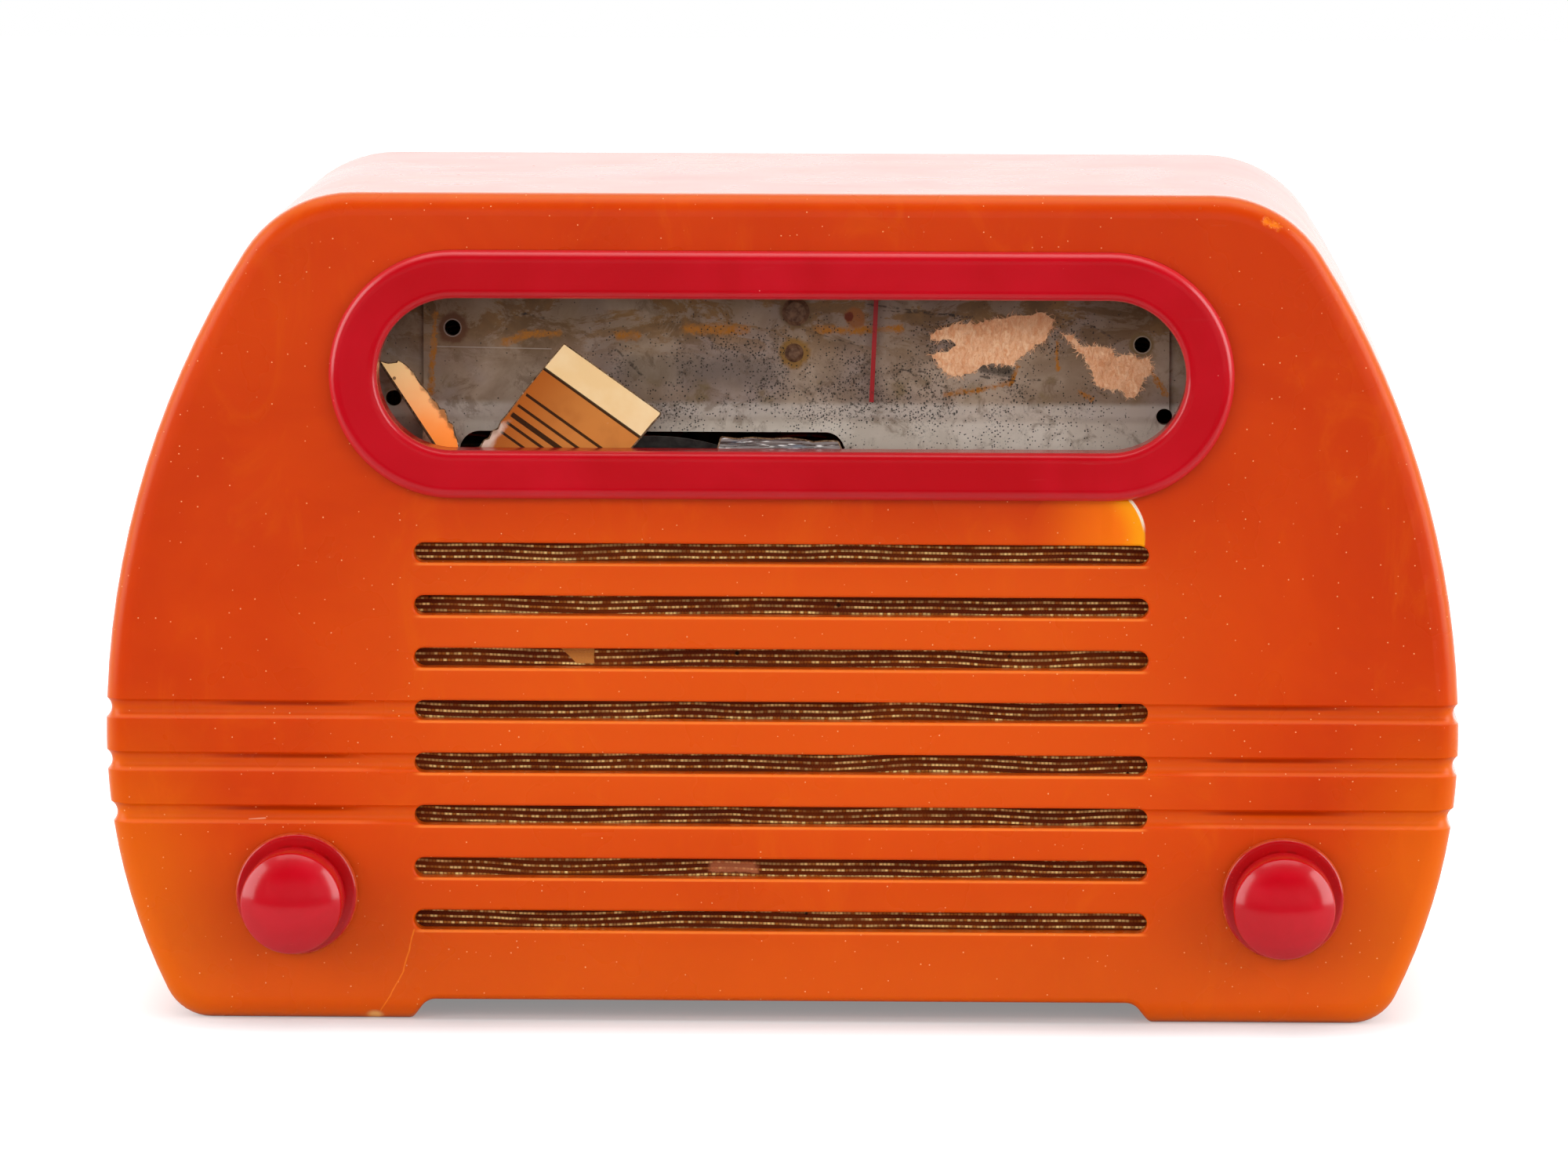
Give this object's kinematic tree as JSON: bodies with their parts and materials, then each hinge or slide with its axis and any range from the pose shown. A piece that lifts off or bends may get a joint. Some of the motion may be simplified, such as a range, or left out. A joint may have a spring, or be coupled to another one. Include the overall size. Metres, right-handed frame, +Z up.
{
  "type": "tabletop radio",
  "caption": "Small cast-resin table radio with a long round-ended dial window, horizontal sound slots and two turned knobs for volume and tuning.",
  "frame": {"origin": "on the table, under the middle of the box that the whole radio fills", "axes": "+X to the listener's right, +Y away from the listener to the back, +Z up"},
  "size_m": [0.273, 0.1624, 0.1674],
  "materials": {
    "cast_resin": "polished cast phenolic resin, orange, slightly translucent",
    "red_resin": "polished cast phenolic resin, red",
    "grille_weave": "brown cotton woven with gold threads",
    "fibre_board": "pressed fibre board",
    "cone_paper": "pulp paper",
    "coil_copper": "enamelled copper wire",
    "magnet_iron": "rough cast iron",
    "plated_steel": "dull cadmium-plated steel",
    "fixings": "plated steel, a little rusty",
    "brass_turned": "turned brass",
    "aluminium_sheet": "drawn aluminium",
    "drum_metal": "pressed plated steel",
    "moulded_black": "black moulded phenolic",
    "tube_glass": "clear blown glass",
    "scale_glass": "dial glass with an amber and cream printed back",
    "clear_glass": "unprinted dial glass",
    "waxed_paper": "waxed paper tube",
    "resistor_body": "lacquered carbon composition",
    "felt": "worn tan felt",
    "pointer_red": "red enamel",
    "cord_braid": "braided dial cord",
    "loop_winding": "flat aerial winding on card",
    "grommet_rubber": "black rubber"
  },
  "bodies": {
    "cabinet": {"cabinet": "cast_resin", "dial_bezel": "red_resin", "grille_cloth": "grille_weave", "baffle_board": "fibre_board", "back_panel": "fibre_board", "output_transformer_coil": "coil_copper", "speaker_magnet": "magnet_iron", "speaker_frame": "plated_steel", "chassis": "plated_steel", "gang_frame": "plated_steel", "dial_plate": "plated_steel", "dial_stiffener": "plated_steel", "dial_bracket_left": "plated_steel", "dial_bracket_right": "plated_steel", "output_transformer_core": "plated_steel", "volume_control": "plated_steel", "pilot_lamp_socket": "plated_steel", "baffle_push_nuts": "fixings", "speaker_screws": "fixings", "chassis_screws": "fixings", "bracket_screws": "fixings", "back_panel_screws": "fixings", "control_nuts": "fixings", "dial_rivets": "fixings", "pulley_studs": "fixings", "tuning_bushing": "brass_turned", "if_cans": "aluminium_sheet", "filter_capacitor": "aluminium_sheet", "gang_stator": "aluminium_sheet", "tube_sockets": "moulded_black", "tube_bases": "moulded_black", "tube_envelopes": "tube_glass", "pilot_lamp_bulb": "tube_glass", "scale_fragment_large": "scale_glass", "scale_fragment_small": "scale_glass", "scale_fragment_clear": "clear_glass", "paper_capacitors": "waxed_paper", "resistors": "resistor_body", "felt_scraps": "felt", "dial_cord": "cord_braid", "loop_antenna": "loop_winding", "cord_grommet": "grommet_rubber"},
    "tuning_gang": {"gang_rotor": "aluminium_sheet", "dial_drum": "drum_metal"},
    "tuning_control": {"tuning_shaft": "plated_steel", "tuning_clip": "plated_steel", "tuning_knob": "red_resin"},
    "volume_spindle": {"volume_shaft": "plated_steel", "volume_knob": "red_resin"},
    "dial_pointer": {"pointer_needle": "pointer_red", "pointer_carriage": "plated_steel"},
    "left_pulley": {"pulley_left": "drum_metal"},
    "right_pulley": {"pulley_right": "drum_metal"},
    "cone_and_coil": {"speaker_cone": "cone_paper", "voice_coil": "coil_copper"}
  },
  "joints": [
    {"name": "gang_turn", "type": "hinge", "parent": "cabinet", "child": "tuning_gang", "pos_m": [0.056, -0.0328, 0.0722], "axis": [0, -1, 0], "range_deg": [-120.3, 59.7]},
    {"name": "tuning_turn", "type": "hinge", "parent": "cabinet", "child": "tuning_control", "pos_m": [0.10128, -0.065, 0.026], "axis": [0, 1, 0], "range_deg": [-1087, 540]},
    {"name": "pointer_slide", "type": "slide", "parent": "cabinet", "child": "dial_pointer", "axis": [1, 0, 0], "range_m": [-0.0735, 0.0365]},
    {"name": "left_pulley_turn", "type": "hinge", "parent": "cabinet", "child": "left_pulley", "pos_m": [-0.074, -0.03275, 0.1512], "axis": [0, 1, 0], "range_deg": [-702, 349]},
    {"name": "right_pulley_turn", "type": "hinge", "parent": "cabinet", "child": "right_pulley", "pos_m": [0.074, -0.03275, 0.1512], "axis": [0, 1, 0], "range_deg": [-702, 349]},
    {"name": "volume_turn", "type": "hinge", "parent": "cabinet", "child": "volume_spindle", "pos_m": [-0.09756, -0.065, 0.026], "axis": [0, 1, 0], "range_deg": [0, 300]},
    {"name": "cone_travel", "type": "slide", "parent": "cabinet", "child": "cone_and_coil", "axis": [0, 1, 0], "range_m": [-0.0004, 0.0004], "stiffness_N_per_m": 1500}
  ],
  "couplings": [
    {"joint": "pointer_slide", "follows": "gang_turn", "m_per_rad": 0.035},
    {"joint": "tuning_turn", "follows": "gang_turn", "ratio": 9.0323},
    {"joint": "left_pulley_turn", "follows": "gang_turn", "ratio": 5.8333},
    {"joint": "right_pulley_turn", "follows": "gang_turn", "ratio": 5.8333}
  ]
}
